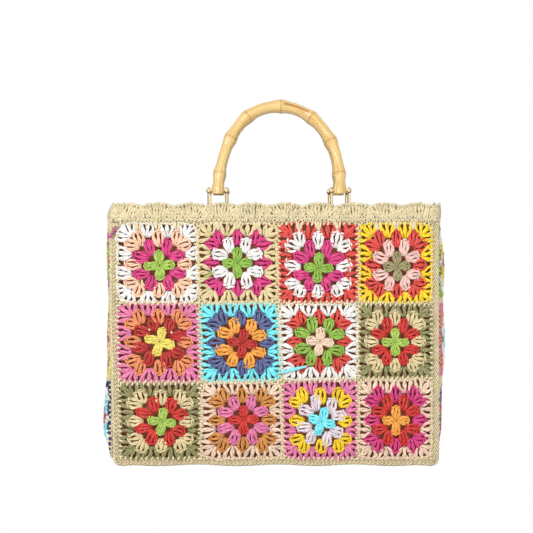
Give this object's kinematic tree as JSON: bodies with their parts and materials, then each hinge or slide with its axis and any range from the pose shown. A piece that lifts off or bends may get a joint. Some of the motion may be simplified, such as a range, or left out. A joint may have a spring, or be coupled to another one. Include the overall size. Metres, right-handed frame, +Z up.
{
  "type": "crochet bag",
  "caption": "Open-topped handbag of joined granny squares with a narrow side strip, corded seams, a scalloped rim, a cloth lining and arched bamboo handles on brass shackles.",
  "frame": {"origin": "on the floor, under the middle of the bag", "axes": "+X to the right seen from the front, -Y to the front, +Z up towards the handles"},
  "size_m": [0.3669, 0.1102, 0.3961],
  "materials": {
    "square_yarn": "granny squares in glossy multicoloured yarn",
    "beige_yarn": "glossy straw-coloured yarn, tight crochet",
    "lining_cloth": "plain brown woven lining",
    "bamboo": "varnished honey-coloured bamboo",
    "brass": "polished gold"
  },
  "bodies": {
    "root": {"square_front_1_1": "square_yarn", "square_front_1_2": "square_yarn", "square_front_1_3": "square_yarn", "square_front_1_4": "square_yarn", "square_front_2_1": "square_yarn", "square_front_2_2": "square_yarn", "square_front_2_3": "square_yarn", "square_front_2_4": "square_yarn", "square_front_3_1": "square_yarn", "square_front_3_2": "square_yarn", "square_front_3_3": "square_yarn", "square_front_3_4": "square_yarn", "square_back_1_1": "square_yarn", "square_back_1_2": "square_yarn", "square_back_1_3": "square_yarn", "square_back_1_4": "square_yarn", "square_back_2_1": "square_yarn", "square_back_2_2": "square_yarn", "square_back_2_3": "square_yarn", "square_back_2_4": "square_yarn", "square_back_3_1": "square_yarn", "square_back_3_2": "square_yarn", "square_back_3_3": "square_yarn", "square_back_3_4": "square_yarn", "square_left_1": "square_yarn", "square_left_2": "square_yarn", "square_left_3": "square_yarn", "square_right_1": "square_yarn", "square_right_2": "square_yarn", "square_right_3": "square_yarn", "front_edging": "beige_yarn", "back_edging": "beige_yarn", "base_panel": "beige_yarn", "rim_rows": "beige_yarn", "shell_edging": "beige_yarn", "lining": "lining_cloth", "front_left_tab": "beige_yarn", "front_right_tab": "beige_yarn", "back_left_tab": "beige_yarn", "back_right_tab": "beige_yarn", "front_left_shackle": "brass", "front_right_shackle": "brass", "back_left_shackle": "brass", "back_right_shackle": "brass"},
    "front_handle": {"front_handle": "bamboo", "front_left_pin": "brass", "front_right_pin": "brass"},
    "back_handle": {"back_handle": "bamboo", "back_left_pin": "brass", "back_right_pin": "brass"}
  },
  "joints": [
    {"name": "front_handle_swing", "type": "hinge", "parent": "root", "child": "front_handle", "pos_m": [0.0048, -0.04022, 0.29665], "axis": [1, 0, 0], "range_deg": [0, 128]},
    {"name": "back_handle_swing", "type": "hinge", "parent": "root", "child": "back_handle", "pos_m": [0.0048, 0.04022, 0.29665], "axis": [-1, 0, 0], "range_deg": [0, 128]}
  ]
}
